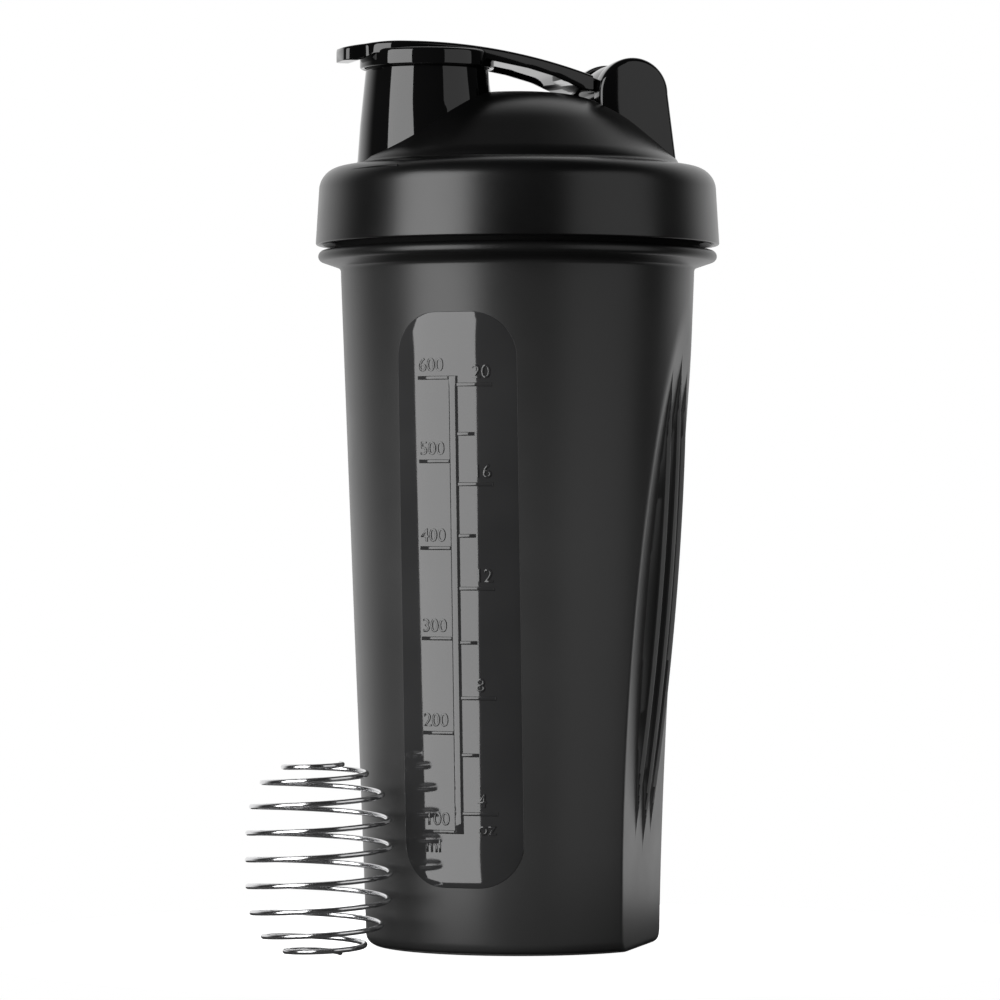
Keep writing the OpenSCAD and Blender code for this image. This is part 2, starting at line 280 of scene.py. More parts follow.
def satin_plastic(name, low, high, roughness):
    """Injection-moulded plastic with a fine spark-eroded grain."""
    material = new_material(name, high, roughness)
    cloud = noise_at(material, 60, 3)
    grains = noise_at(material, 2600, 3)
    tint(material, cloud.outputs["Fac"], low, high)
    vary(material, "Roughness", cloud.outputs["Fac"], roughness - 0.02, roughness + 0.02)
    bump(material, grains.outputs["Fac"], GRAIN)
    return material


def smoke_plastic():
    """Satin smoke plastic with painted light: painted shade where it is thick and high up, and a painted
    highlight at the tips of the ribs.
    """
    material = new_material("smoke_satin", (0.03, 0.03, 0.031), 0.36, specular=0.38)
    cloud = noise_at(material, 60, 3)
    grains = noise_at(material, 2600, 3)
    place = node(material, "ShaderNodeTexCoord").outputs["Object"]
    height = node(material, "ShaderNodeSeparateXYZ", Vector=place).outputs["Z"]
    # painted shade: the colour is darker higher up the cup
    painted_shade_by_height = node(material, "ShaderNodeMapRange", Value=height, To_Min=1.0, To_Max=HIGH_PAINTED_SHADE)
    painted_shade_by_height.inputs["From Min"].default_value, painted_shade_by_height.inputs["From Max"].default_value = 0.10, 0.17
    # painted shade where the plastic is thick and a painted highlight at the rib tips, read from the stored
    # mask
    wall = node(material, "ShaderNodeAttribute")
    wall.attribute_name = "thickness_for_painted_light"
    thickness_for_painted_light = node(material, "ShaderNodeMapRange", Value=wall.outputs["Fac"], From_Max=5.0)
    painted_light_by_wall = node(material, "ShaderNodeValToRGB", Fac=thickness_for_painted_light.outputs["Result"])
    ramp = painted_light_by_wall.color_ramp
    ramp.elements[0].position, ramp.elements[1].position = 0.0, 0.9
    ramp.elements[0].color, ramp.elements[1].color = (*[RIB_TIP_PAINTED_HIGHLIGHT] * 3, 1), (*[THICK_PAINTED_SHADE] * 3, 1)
    for at, shade in ((0.14, RIB_TIP_PAINTED_HIGHLIGHT), (0.2, THICK_PAINTED_SHADE), (0.3, 1.0), (0.42, 1.0)):
        ramp.elements.new(at).color = (shade, shade, shade, 1)
    spread = node(material, "ShaderNodeMapRange", Value=cloud.outputs["Fac"], To_Min=0.031, To_Max=0.037)
    shade = painted_shade_by_height.outputs["Result"]
    for other in (painted_light_by_wall.outputs["Color"], spread.outputs["Result"]):
        product = node(material, "ShaderNodeMath")
        product.operation = "MULTIPLY"
        material.node_tree.links.new(shade, product.inputs[0])
        material.node_tree.links.new(other, product.inputs[1])
        shade = product.outputs[0]
    shader = material.node_tree.nodes["Principled BSDF"]
    material.node_tree.links.new(shade, shader.inputs["Base Color"])
    vary(material, "Roughness", cloud.outputs["Fac"], 0.34, 0.38)
    bump(material, grains.outputs["Fac"], GRAIN)
    return material


def gloss_plastic(name, low, high, roughness):
    """Polished plastic whose surface is only very slightly wavy."""
    material = new_material(name, high, roughness)
    cloud = noise_at(material, 45, 2)
    tint(material, cloud.outputs["Fac"], low, high)
    vary(material, "Roughness", cloud.outputs["Fac"], roughness * 0.8, roughness * 1.2)
    bump(material, cloud.outputs["Fac"], WAVE)
    return material


def silicone():
    """Matt silicone with a fine dusty grain."""
    material = new_material("silicone", (0.02, 0.02, 0.02), 0.55, ior=1.41)
    dust = noise_at(material, 900, 4)
    tint(material, dust.outputs["Fac"], (0.014, 0.014, 0.014), (0.026, 0.026, 0.026))
    vary(material, "Roughness", dust.outputs["Fac"], 0.48, 0.62)
    bump(material, dust.outputs["Fac"], 0.00001)
    return material


def drawn_steel():
    """Bright drawn wire with faint die lines."""
    material = new_material("drawn_steel", (0.66, 0.66, 0.67), 0.14, metallic=1.0)
    lines = noise_at(material, 1500, 3, stretch=(1, 1, 6))
    tint(material, lines.outputs["Fac"], (0.60, 0.60, 0.61), (0.74, 0.74, 0.75))
    vary(material, "Roughness", lines.outputs["Fac"], 0.10, 0.20)
    bump(material, lines.outputs["Fac"], 0.000008)
    return material


# ---------------------------------------------------------------- cup
def cone_r(z):
    """Outer radius of the cup's wall at a height."""
    return FOOT_R + TAPER * z


def grip_face(z):
    """Distance of a grip's hollow face from the axis."""
    return GRIP_D + z * z / 2 / GRIP_R


def rounded_foot(z, radius):
    """How far an edge rounded to radius is pulled in at a height near the foot."""
    t = np.clip(1 - z / radius, 0, 1)
    return radius * (1 - np.sqrt(1 - t * t))


def rib_crest(y, z):
    """Distance of a rib's crest from the axis, along the grip's direction."""
    return RIB_D - (RIB_TOP_Z - z) ** 2 / 2 / RIB_R - y * y / 2 / RIB_CROWN


def grip_columns():
    """Sideways places across a grip in millimetres, close together on the crests of the ribs."""
    fine = [-0.9, -0.65, -0.45, -0.3, -0.18, -0.08, 0.0, 0.08, 0.18, 0.3, 0.45, 0.65, 0.9]
    places = [k * RIB_PITCH + d for k in range(-2, 3) for d in fine]
    places += [(k + t) * RIB_PITCH for k in range(-3, 3) for t in (0.2, 0.3, 0.4, 0.5, 0.6, 0.7, 0.8)]
    return np.array(sorted(y for y in places if abs(y) < 2.45 * RIB_PITCH))


def cup_angles(z):
    """Angles of the cup's columns at one height in degrees: on a grip they keep to its ribs."""
    places, edge, angles = grip_columns(), 36.0, []
    for grip, following in zip(GRIP_ANGLES, (GRIP_ANGLES[1], GRIP_ANGLES[0] + 360)):
        across = np.degrees(np.arctan2(places, np.maximum(rib_crest(places, z), 30)))
        sides = np.linspace(across[-1], edge, 12)[1:]
        rest = np.linspace(grip + edge, following - edge, round((following - grip - 2 * edge) / 1.5))[1:]
        angles += [grip - sides[::-1], grip + across, grip + sides, rest[:-1]]
    return np.concatenate(angles)


def cup_outer(profile_r, z, angles):
    """Radius of the outside at one height for each angle: cone, hollow faces and their ribs."""
    radius = np.full(len(angles), profile_r)
    if z > GRIP_END:
        return radius
    for grip in GRIP_ANGLES:
        u = np.radians((angles - grip + 180) % 360 - 180)
        on = np.abs(u) < math.radians(50)
        cos, sin = np.cos(u[on]), np.sin(u[on])
        face = (grip_face(z) - rounded_foot(z, 1.5)) / cos
        surface = smooth_min(np.full(face.shape, profile_r), face, 0.4)
        for k in range(-2, 3):
            y = k * RIB_PITCH
            crest, lean = rib_crest(y, z) + 0.35, RIB_STEEP * y
            rib = smooth_min((crest + lean) / np.maximum(cos + RIB_STEEP * sin, 0.1),
                             (crest - lean) / np.maximum(cos - RIB_STEEP * sin, 0.1), 1.4)
            surface = smooth_max(surface, rib, 0.4)
        radius[on] = np.minimum(surface, profile_r)
    return radius


def cup_inner(profile_r, z, angles):
    """Radius of the inside at one height for each angle."""
    radius = np.full(len(angles), profile_r)
    for grip in GRIP_ANGLES:
        u = np.radians((angles - grip + 180) % 360 - 180)
        on = np.abs(u) < math.radians(50)
        face = (grip_face(z) - WALL) / np.cos(u[on])
        radius[on] = smooth_min(radius[on], face, 0.9)
    return radius


def cup_shell():
    """The cup's wall, floor, foot and bead as one closed surface."""
    foot_z = FOOT_ROUND + FOOT_RISE
    foot = [(STAND_R, 0)] + arc(cone_r(foot_z) - FOOT_ROUND, foot_z, FOOT_ROUND, -83, 0, 10)
    under_x, under_z = BEAD[0] + BEAD_R * math.sin(BEAD_SLOPE), BEAD[1] - BEAD_R * math.cos(BEAD_SLOPE)
    fillet_x = cone_r(under_z - 3) + FILLET_R
    fillet_z = under_z - (under_x - fillet_x) * math.tan(BEAD_SLOPE) - FILLET_R / math.cos(BEAD_SLOPE)
    wall = line((cone_r(foot_z), foot_z), (cone_r(fillet_z), fillet_z), 1.3)
    fillet = arc(fillet_x, fillet_z, FILLET_R, 180, 109, 6)
    bead = arc(*BEAD, BEAD_R, -71, 90, 16)
    neck = [(NECK_R + 0.5, BEAD[1] + BEAD_R), (NECK_R, BEAD[1] + BEAD_R + 0.5), (NECK_R, RIM_Z - 0.7)]
    rim = arc(NECK_R - 0.7, RIM_Z - 0.7, 0.7, 0, 90, 4) + arc(NECK_IN_R + 0.7, RIM_Z - 0.7, 0.7, 90, 180, 4)
    outer = foot[:-1] + wall + fillet + bead + neck + rim
    corner = (FOOT_R + TAPER * 8.7 - WALL - 3.5, FLOOR_Z + 3.5)
    inner = (line((NECK_IN_R, RIM_Z - 1), (cone_r(8.7) - WALL, 8.7), 6) + arc(*corner, 3.5, 0, -90, 8))
    under = [(20, FLOOR_Z), (8, FLOOR_Z), (0, FLOOR_Z)]
    under += [(0, RECESS_Z), (10, RECESS_Z), (RECESS_R - 1.2, RECESS_Z)]
    under += arc(RECESS_R - 1.2, RECESS_Z - 1, 1, 90, 0, 4)[1:] + [(RECESS_R, 0.3), (RECESS_R + 0.2, 0)]
    points = []
    for shape, outline in ((cup_outer, outer), (cup_inner, inner), (None, under)):
        for r, z in outline:
            angles = cup_angles(z)
            radius = shape(r, z, angles) if shape else np.full(len(angles), r)
            turn = np.radians(angles)
            points += list(zip(radius * np.cos(turn), radius * np.sin(turn), np.full(len(angles), z)))
    faces = grid_faces(len(outer + inner + under), len(angles), closed_rows=True)
    shell = add_object("cup_shell", points, faces, 50)
    note_thickness(shell)
    return shell


def note_thickness(shell):
    """Stores how thick the plastic is at each point of the outside, in millimetres, as a mask for the painted
    shade; a rib's tip is set thin so that it gets a painted highlight.
    """
    mesh = shell.data
    co = np.empty(len(mesh.vertices) * 3)
    mesh.vertices.foreach_get("co", co)
    x, y, z = co.reshape(-1, 3).T / MM
    inner = cone_r(z) - WALL
    for grip in GRIP_ANGLES:
        across = x * math.cos(math.radians(grip)) + y * math.sin(math.radians(grip))
        cos = across / np.maximum(np.hypot(x, y), 0.01)
        inner = np.where(cos > 0.5, np.minimum(inner, (grip_face(z) - WALL) / np.maximum(cos, 0.5)), inner)
    thickness_for_painted_light = np.clip(np.hypot(x, y) - inner, 0, 12)
    for grip in GRIP_ANGLES:
        across = x * math.cos(math.radians(grip)) + y * math.sin(math.radians(grip))
        aside = y * math.cos(math.radians(grip)) - x * math.sin(math.radians(grip))
        # a rib's tip gets a small value, so that the material paints a highlight along it
        for place in np.arange(-2, 3) * RIB_PITCH:
            below = rib_crest(place, z) - across
            tip = (np.abs(aside - place) < 1) & (np.abs(below) < 1) & (across > 0) & (thickness_for_painted_light > 2.6)
            thickness_for_painted_light = np.where(tip, np.clip(below, 0, 1), thickness_for_painted_light)
    mesh.attributes.new("thickness_for_painted_light", "FLOAT", "POINT").data.foreach_set("value", thickness_for_painted_light)


def thread(name, root, side, turns, low):
    """Both starts of a trapezoid screw thread that fades at its ends."""
    steps = 96
    n = round(turns * steps)
    shells = []
    for start in (0, math.pi):
        points = []
        for i in range(n + 1):
            a, z = 2 * math.pi * i / steps + start, low + LEAD * i / steps
            fade = min(1, 8 * i / n, 8 * (n - i) / n)
            depth = THREAD_DEPTH * (math.sin(fade * math.pi / 2) * 0.98 + 0.02)
            section = [(-0.4, -1.1), (0.3 * depth, -0.98), (0.85 * depth, -0.6), (depth, -0.3),
                       (depth, 0.3), (0.85 * depth, 0.6), (0.3 * depth, 0.98), (-0.4, 1.1)]
            points += [((root + side * d) * math.cos(a), (root + side * d) * math.sin(a), z + h)
                       for d, h in section]
        faces = grid_faces(n + 1, 8) + [tuple(range(8)), tuple(range(8 * n, 8 * n + 8))]
        shells.append(add_object(name, points, faces, 50))
    return join(name, shells)


def window_point(y, z, height):
    """A point of the window's face at a sideways distance y, height above the wall's cone."""
    r = cone_r(z) + height
    a = math.radians(WINDOW_ANGLE) + math.asin(y / r)
    return r * math.cos(a), r * math.sin(a), z


def window_outline(inset, per_corner=14):
    """The window's border as (y, z), moved in by inset, with the same number of points for every inset."""
    half, corner = WINDOW_HALF - inset, WINDOW_CORNER - inset
    cy, low, high = WINDOW_HALF - WINDOW_CORNER, WINDOW_LOW + WINDOW_CORNER, WINDOW_HIGH - WINDOW_CORNER
    side = [low + (high - low) * i / 40 for i in range(1, 40)]
    level_part = [cy * (1 - i / 5) for i in range(1, 10)]
    points = arc(cy, low, corner, -90, 0, per_corner) + [(half, z) for z in side]
    points += arc(cy, high, corner, 0, 90, per_corner) + [(y, high + corner) for y in level_part]
    points += arc(-cy, high, corner, 90, 180, per_corner) + [(-half, z) for z in side[::-1]]
    points += arc(-cy, low, corner, 180, 270, per_corner) + [(-y, low - corner) for y in level_part]
    return points



def window_panel():
    """The polished face of the scale window, a hair proud of the grained wall."""
    border = window_outline(0)
    spine_low, spine_high = WINDOW_LOW + WINDOW_HALF, WINDOW_HIGH - WINDOW_HALF
    rings = [[window_point(y, z, -0.3) for y, z in border]]
    for inset, height in ((0.0, -0.04), (0.05, 0.04), (0.13, 0.085), (0.25, WINDOW_PROUD)):
        rings.append([window_point(y, z, height) for y, z in window_outline(inset)])
    inner = window_outline(0.25)
    for t in (0.1, 0.3, 0.5, 0.7, 0.9, 1.0):
        rings.append([window_point(y * (1 - t), z + (np.clip(z, spine_low, spine_high) - z) * t, WINDOW_PROUD)
                      for y, z in inner])
    faces = grid_faces(len(rings), len(border)) + [tuple(range(len(border)))]
    return add_object("scale_window", [p for ring in rings for p in ring], faces, 60)


def level(ml):
    """Height to which a volume fills the cup."""
    r0 = FOOT_R + TAPER * FLOOR_Z - WALL
    return FLOOR_Z + ((r0 ** 3 + 3 * TAPER * ml * 1000 / FILL_SHARE / math.pi) ** (1 / 3) - r0) / TAPER


def raised_bar(y0, y1, z0, z1):
    """A low bar with rounded shoulders, laid on the window's face."""
    edge = 0.14
    columns = [y0, y0, y0 + edge / 2, y0 + edge, (y0 + y1) / 2, y1 - edge, y1 - edge / 2, y1, y1]
    rows = [z0, z0, z0 + edge / 2, z0 + edge]
    n = max(1, round((z1 - z0) / 3))
    rows += [z0 + edge + (z1 - z0 - 2 * edge) * i / n for i in range(1, n)]
    rows += [z1 - edge, z1 - edge / 2, z1, z1]
    lift = [-0.1, 0.3, 0.8, 1.0]

    def height(i, count):
        return lift[min(i, count - 1 - i, 3)]

    points = [window_point(y, z, WINDOW_PROUD + MARK_UP * min(height(i, len(rows)), height(j, len(columns))))
              for i, z in enumerate(rows) for j, y in enumerate(columns)]
    wide, high = len(columns), len(rows)
    rim = list(range(wide)) + [i * wide + wide - 1 for i in range(1, high)]
    rim += [(high - 1) * wide + j for j in range(wide - 2, -1, -1)]
    rim += [i * wide for i in range(high - 2, 0, -1)]
    return points, grid_faces(high, wide, closed_columns=False) + [tuple(rim)]


def scale_marks():
    """The bar, the millilitre marks on its left and the ounce marks on its right."""
    bars = [(-BAR_HALF, BAR_HALF, level(100) - MARK_T / 2, level(600) + MARK_T / 2)]
    for ml in range(100, 700, 100):
        bars.append((-BAR_HALF - LONG_MARK, -BAR_HALF + 0.3, level(ml) - MARK_T / 2, level(ml) + MARK_T / 2))
    for oz in range(4, 22, 2):
        z, reach = level(oz * ML_PER_OZ), LONG_MARK if oz % 4 == 0 else SHORT_MARK
        bars.append((BAR_HALF - 0.3, BAR_HALF + reach, z - MARK_T / 2, z + MARK_T / 2))
    points, faces = [], []
    for bar in bars:
        more, quads = raised_bar(*bar)
        faces += [tuple(i + len(points) for i in q) for q in quads]
        points += more
    return add_object("scale_marks", points, faces, 60)


def numeral(text, y, z):
    """Raised lettering wrapped onto the window's face. y and z are its lower corner."""
    curve = bpy.data.curves.new("numeral", "FONT")
    curve.body, curve.size = text, NUMERAL_SIZE
    curve.extrude, curve.offset, curve.resolution_u = 0.09, -0.03, 4
    curve.bevel_depth, curve.bevel_resolution = 0.05, 1
    obj = bpy.data.objects.new("numeral", curve)
    scene.collection.objects.link(obj)
    bpy.context.view_layer.update()
    mesh = bpy.data.meshes.new_from_object(obj.evaluated_get(bpy.context.evaluated_depsgraph_get()))
    bpy.data.objects.remove(obj)
    for v in mesh.vertices:
        v.co = Vector(window_point(y + v.co.x, z + v.co.y, WINDOW_PROUD + 0.06 + v.co.z)) * MM
    made = bpy.data.objects.new("numeral", mesh)
    scene.collection.objects.link(made)
    return made


def scale_numerals():
    """Millilitres left of the bar and ounces right of it, with their units."""
    made = []
    for ml in range(100, 700, 100):
        made.append(numeral(str(ml), -BAR_HALF - LONG_MARK + 0.2, level(ml) + 1.6))
    for oz in range(4, 24, 4):
        made.append(numeral(str(oz), BAR_HALF + 3.6, level(oz * ML_PER_OZ) + 1.6))
    made.append(numeral("oz", BAR_HALF + 3.6, level(4 * ML_PER_OZ) - 5.0))
    made.append(numeral("ml", -BAR_HALF - LONG_MARK + 0.2, level(100) - 5.0))
    obj = join("scale_numerals", made)
    finish_mesh(obj, 40)
    return obj


# ---------------------------------------------------------------- lid
def dome_line(skin):
    """The dome's slope and its crown, moved in by skin."""
    crown = arc(DOME_X, DOME_Z, DOME_R - skin, 90 - DOME_SLOPE, 90, 18)
    return line((39.6 - 0.7 * skin, RIM_Z + 5.0 - 0.8 * skin), crown[0], 2.5) + crown


def lid_outer():
    """Outline of the lid's outside from the collar's lower edge to the top of the dome."""
    collar = [(COLLAR_R - 0.5, COLLAR_Z)] + arc(COLLAR_R - 0.5, COLLAR_Z + 0.5, 0.5, -60, 0, 3)
    wall = line((COLLAR_R, COLLAR_Z + 0.6), (COLLAR_TOP_R, RIM_Z - 2.6), 3)
    shoulder = arc(COLLAR_TOP_R - 5.8, RIM_Z - 2.6, 5.8, 0, 78, 16)
    meeting = [(40.8, RIM_Z + 3.6), (40.3, RIM_Z + 3.85), (39.95, RIM_Z + 4.35)]
    return collar + wall + shoulder + meeting + dome_line(0)


def lid_inner():
    """Outline of the lid's inside from the middle of the dome down to the collar's lower edge."""
    ring_out = NECK_IN_R - 0.45
    ring_in = ring_out - 1.6
    dome = dome_line(2)[::-1] + [(ring_in, SEAT_Z + 0.8)]
    ring = [(ring_in, RIM_Z - 3.6), (ring_in + 0.4, RIM_Z - 4), (ring_out - 0.5, RIM_Z - 4),
            (ring_out, RIM_Z - 3.4), (ring_out, SEAT_Z)]
    wall = [(COLLAR_IN_R - 1.9, SEAT_Z), (COLLAR_IN_R, RIM_Z - 0.6), (COLLAR_IN_R, COLLAR_Z + 1.2),
            (COLLAR_IN_R + 0.8, COLLAR_Z)]
    return dome + ring + wall


def dome_height(x, y, points):
    """Height of an outline of (radius, height) at a place, by straight stretches."""
    pairs = sorted(points)
    return float(np.interp(math.hypot(x, y), [p[0] for p in pairs], [p[1] for p in pairs]))


def lid_body():
    """Collar and dome, with the hinge barrel's pocket and the way into the spout cut out."""
    outer, inner = lid_outer(), lid_inner()
    body = revolve("lid_body", outer + [(0, DOME_TOP), (0, DOME_TOP - 2)] + inner, closed=True)
    boss = across_hinge("boss", BARREL_R + 2.4, EAR_IN + 2)
    under = revolve("under", [(0, RIM_Z + 3)] + [(40, RIM_Z + 3)] + [(r, z - 0.05) for r, z in dome_line(0)]
                    + [(0, DOME_TOP - 0.05)], closed=False)
    boolean(boss, under, "INTERSECT")
    boolean(body, boss, "UNION")
    boolean(body, across_hinge("pocket", BARREL_R + 0.4, EAR_IN), "DIFFERENCE")
    bore_r, bore_top = SPOUT_IN_R + 1.0, RIM_Z + 40
    bore = revolve("bore", [(0, RIM_Z), (bore_r, RIM_Z), (bore_r, bore_top), (0, bore_top)],
                   centre=(SPOUT_X, 0), closed=False)
    boolean(body, bore, "DIFFERENCE")
    finish_mesh(body, 30)
    return body


def spout_tube():
    """The pouring spout, whose foot follows the underside of the dome."""
    columns = 160
    inside = [p for p in lid_inner() if p[1] > RIM_Z + 1]
    rim = arc(SPOUT_R - 0.7, SPOUT_TOP - 0.7, 0.7, 0, 90, 6)
    lip = arc(SPOUT_IN_R + 0.5, SPOUT_TOP - 0.5, 0.5, 90, 180, 4)
    rows = [None] + [(SPOUT_R + SPOUT_FLARE * (SPOUT_TOP - z) / (SPOUT_TOP - SPOUT_LOW), z)
                     for z in (SPOUT_TOP - 15, SPOUT_TOP - 10, SPOUT_TOP - 5, SPOUT_TOP - 2)]
    rows += rim + lip + [(SPOUT_IN_R, SPOUT_TOP - 6), None]
    points = []
    for i, row in enumerate(rows):
        for j in range(columns):
            a = 2 * math.pi * j / columns
            r = row[0] if row else (SPOUT_R + SPOUT_FLARE - 0.1 if i == 0 else SPOUT_IN_R)
            x, y = SPOUT_X + r * math.cos(a), r * math.sin(a)
            foot = dome_height(x, y, inside) + 0.3
            z = foot if row is None else row[1]
            if i in (1, 2, 3):
                z = max(z, foot + 0.1 * i)
            points.append((x, y, z))
    return add_object("spout_tube", points, grid_faces(len(rows), columns, closed_rows=True), 40)


def ear_outline(inset, y, inside):
    """Side view of an ear: round top, slanting back, foot just inside the dome's skin, upright front."""
    r, foot_x = EAR_R - inset, EAR_FOOT_X - inset
    top = arc(HINGE_X, HINGE_Z, r, 180, 0, 40)
    back = list(zip(np.linspace(HINGE_X + r, foot_x, 10)[1:], np.linspace(HINGE_Z, RIM_Z + 4, 10)[1:]))
    foot = [(x, RIM_Z + 4) for x in np.linspace(foot_x, HINGE_X - r, 16)[1:-1]]
    sunk = [(x, max(z, dome_height(x, y, inside) + 0.4)) for x, z in back + foot]
    low = dome_height(HINGE_X - r, y, inside) + 0.4
    front = [(HINGE_X - r, low + (HINGE_Z - low) * i / 4) for i in range(4)]
    return top + sunk + front


def ear(side):
    """A hinge ear, its outer edge broadly rounded and its inner edge only eased."""
    eased, rounded = 0.3, 1.3
    quarter = [math.radians(90 * k / 6) for k in range(7)]
    sections = [(eased * (1 - math.sin(t)), EAR_IN + eased * (1 - math.cos(t))) for t in quarter]
    sections += [(rounded * (1 - math.cos(t)), EAR_OUT - rounded * (1 - math.sin(t))) for t in quarter]
    inside = [p for p in lid_inner() if p[1] > RIM_Z + 1]
    outlines = [ear_outline(inset, y, inside) for inset, y in sections]
    n = len(outlines[0])
    points = [(x, side * y, z) for (_, y), outline in zip(sections, outlines) for x, z in outline]
    last = n * (len(sections) - 1)
    faces = grid_faces(len(sections), n) + [tuple(range(n)), tuple(range(last, last + n))]
    return add_object("ear", points, faces, 40)


# ---------------------------------------------------------------- flip cap
def arm_top(x):
    """Height of the arm's top along its length."""
    slope = math.asin((ARM_ROOT_X - ARM_BEND_X) / ARM_BEND_R)
    if x < ARM_BEND_X:
        return ARM_TOP - max(0, DROOP_X - x) ** 2 / 2 / DROOP_R
    if x < ARM_ROOT_X:
        return ARM_TOP - ARM_BEND_R + math.sqrt(ARM_BEND_R ** 2 - (x - ARM_BEND_X) ** 2)
    return ARM_TOP - ARM_BEND_R * (1 - math.cos(slope)) - math.tan(slope) * (x - ARM_ROOT_X)


def arm_bottom(x):
    """Height of the arm's underside: a thick lip at the tab, thinner along the arm, down to the root."""
    xs = (-46, -42, -40.5, -38.5, -31.5, -12.7, 0, 6.6, 9.1, 13, 14.7)
    drops = (4.6, 4.6, 4.2, 3.1, 2.85, 3.85, 6.15, 7.95, 9.05, 10.65, ARM_TOP - DOME_TOP - 0.4)
    return ARM_TOP - float(np.interp(x, xs, drops))


def arm_half(x):
    """Half the arm's width: a round end with a thumb tab, and a narrow root between the ears."""
    if x > ARM_ROOT_X:
        return EAR_IN - 0.3
    end = math.sqrt(max(0, ARM_HALF ** 2 - min(0, x - ARM_END_X) ** 2))
    into = max(0, TAB_X + TAB_R - x)
    tab = TAB_HALF - TAB_R + math.sqrt(max(0, TAB_R ** 2 - into ** 2))
    return max(end, tab)


def arm():
    """The arm and its thumb tab, lofted through rounded sections with a shallow channel underneath."""
    tab = [TAB_X + TAB_R * (1 - math.cos(math.radians(a))) for a in (0, 20, 40, 60, 75, 90)]
    end = list(np.linspace(tab[-1] + 0.4, ARM_END_X, 30))
    middle = list(np.linspace(ARM_END_X + 1, ARM_ROOT_X, 50))
    root = [ARM_ROOT_X + 0.01, HINGE_X - BARREL_R + 1.5]
    sections = []
    for x in tab + end + middle + root:
        half, top, bottom = arm_half(x), arm_top(x), arm_bottom(x)
        edge, low = min(0.9, (top - bottom) / 2 - 0.05), 0.4
        hollow = 0.8 * min(1, max(0, (x + 38) / 3)) * min(1, max(0, (11 - x) / 3))
        ring = arc(half - edge, top - edge, edge, 90, 0, 5) + arc(half - low, bottom + low, low, 0, -90, 4)
        ring += [(half - 1.2, bottom), (half - 1.5, bottom + hollow)]
        ring = [(0, top)] + ring + [(0, bottom + hollow)] + [(-y, z) for y, z in ring[::-1]]
        sections.append([(x, y, z) for y, z in ring])
    n, last = len(sections[0]), len(sections[0]) * (len(sections) - 1)
    faces = grid_faces(len(sections), n) + [tuple(range(n)), tuple(range(last, last + n))]
    return add_object("arm", [p for s in sections for p in s], faces, 40)


def flip_cap_body():
    """Arm, disc with its skirt and hollow plug, hinge barrel and studs."""
    skirt_in, plug_in, web_z = DISC_R - 1.1, PLUG_R - 2, DISC_HIGH - 1.6
    rim = arc(DISC_R - 0.5, DISC_LOW + 0.5, 0.5, -90, 0, 4)
    rim += arc(DISC_R - 0.8, DISC_HIGH - 0.8, 0.8, 0, 90, 5)
    top = [(8, DISC_HIGH), (0, DISC_HIGH), (0, web_z), (plug_in, web_z)]
    plug = [(plug_in, PLUG_LOW + 0.5), (PLUG_R - 1.6, PLUG_LOW), (PLUG_R - 0.9, PLUG_LOW),
            (PLUG_R - 0.4, PLUG_LOW + 0.5), (PLUG_R, SEAL_HIGH)]
    skirt = [(skirt_in, SEAL_HIGH), (skirt_in, DISC_LOW + 0.3)]
    body = revolve("disc", rim + top + plug + skirt, centre=(SPOUT_X, 0))
    barrel = across_hinge("barrel", BARREL_R, EAR_IN - 0.3, edge=0.5)
    studs = across_hinge("studs", 3.0, 12.0, edge=0.4, columns=64)
    return join("flip_cap_body", [arm(), body, barrel, studs])


# ---------------------------------------------------------------- seals and ball
def ring_outline(inner, outer, low, high, corner):
    """Section of a silicone ring, a rectangle with rounded corners."""
    return (arc(outer - corner, low + corner, corner, -90, 0, 3)
            + arc(outer - corner, high - corner, corner, 0, 90, 3)
            + arc(inner + corner, high - corner, corner, 90, 180, 3)
            + arc(inner + corner, low + corner, corner, 180, 270, 3))


def spout_seal():
    """The ring around the plug that lies on the spout's mouth."""
    outline = ring_outline(PLUG_R + 0.1, DISC_R - 1.2, SPOUT_TOP + 0.3, SEAL_HIGH, 0.3)
    return revolve("spout_seal_ring", outline, centre=(SPOUT_X, 0), columns=128, sharp=50)


def lid_gasket():
    """The ring between the cup's rim and the lid."""
    outline = ring_outline(NECK_IN_R + 0.3, NECK_R + 0.2, RIM_Z + 0.3, SEAT_Z - 0.3, 0.35)
    return revolve("lid_gasket_ring", outline, columns=192, sharp=50)


def whisk_ball():
    """The wire: a coil whose turns are evenly spaced along a barrel-shaped outline."""
    half, wide, steps, sides = BALL_H / 2 - WIRE_D / 2, BALL_R - WIRE_D / 2, 96, 16
    tip = math.atan2(half, BALL_END_R)
    a = np.linspace(-tip, tip, 2001)
    across, up = np.abs(np.cos(a) / wide), np.abs(np.sin(a) / half)
    reach = (across ** BALL_POWER + up ** BALL_POWER) ** (-1 / BALL_POWER)
    r, z = reach * np.cos(a), reach * np.sin(a)
    along = np.concatenate([[0], np.cumsum(np.hypot(np.diff(r), np.diff(z)))])
    n = BALL_TURNS * steps
    s = np.linspace(0, along[-1], n + 1)
    turn = np.arange(n + 1) * 2 * np.pi / steps
    rr, zz = np.interp(s, along, r), np.interp(s, along, z)
    path = np.column_stack([rr * np.cos(turn), rr * np.sin(turn), zz])
    tangent = np.gradient(path, axis=0)
    tangent /= np.linalg.norm(tangent, axis=1)[:, None]
    away = path * (1, 1, 0.5)
    u = np.cross(tangent, away)
    u /= np.linalg.norm(u, axis=1)[:, None]
    v = np.cross(u, tangent)
    thinned = np.ones(n + 1)
    thinned[[0, n]] = math.sqrt(0.5)
    points = []
    for i in range(n + 1):
        for k in range(sides):
            b = 2 * math.pi * k / sides
            out = WIRE_D / 2 * thinned[i] * (math.cos(b) * u[i] + math.sin(b) * v[i])
            points.append(tuple(path[i] + out + (*BALL_XY, BALL_H / 2)))
    faces = grid_faces(n + 1, sides) + [tuple(range(sides)), tuple(range(sides * n, sides * n + sides))]
    return add_object("whisk_wire", points, faces, 50)


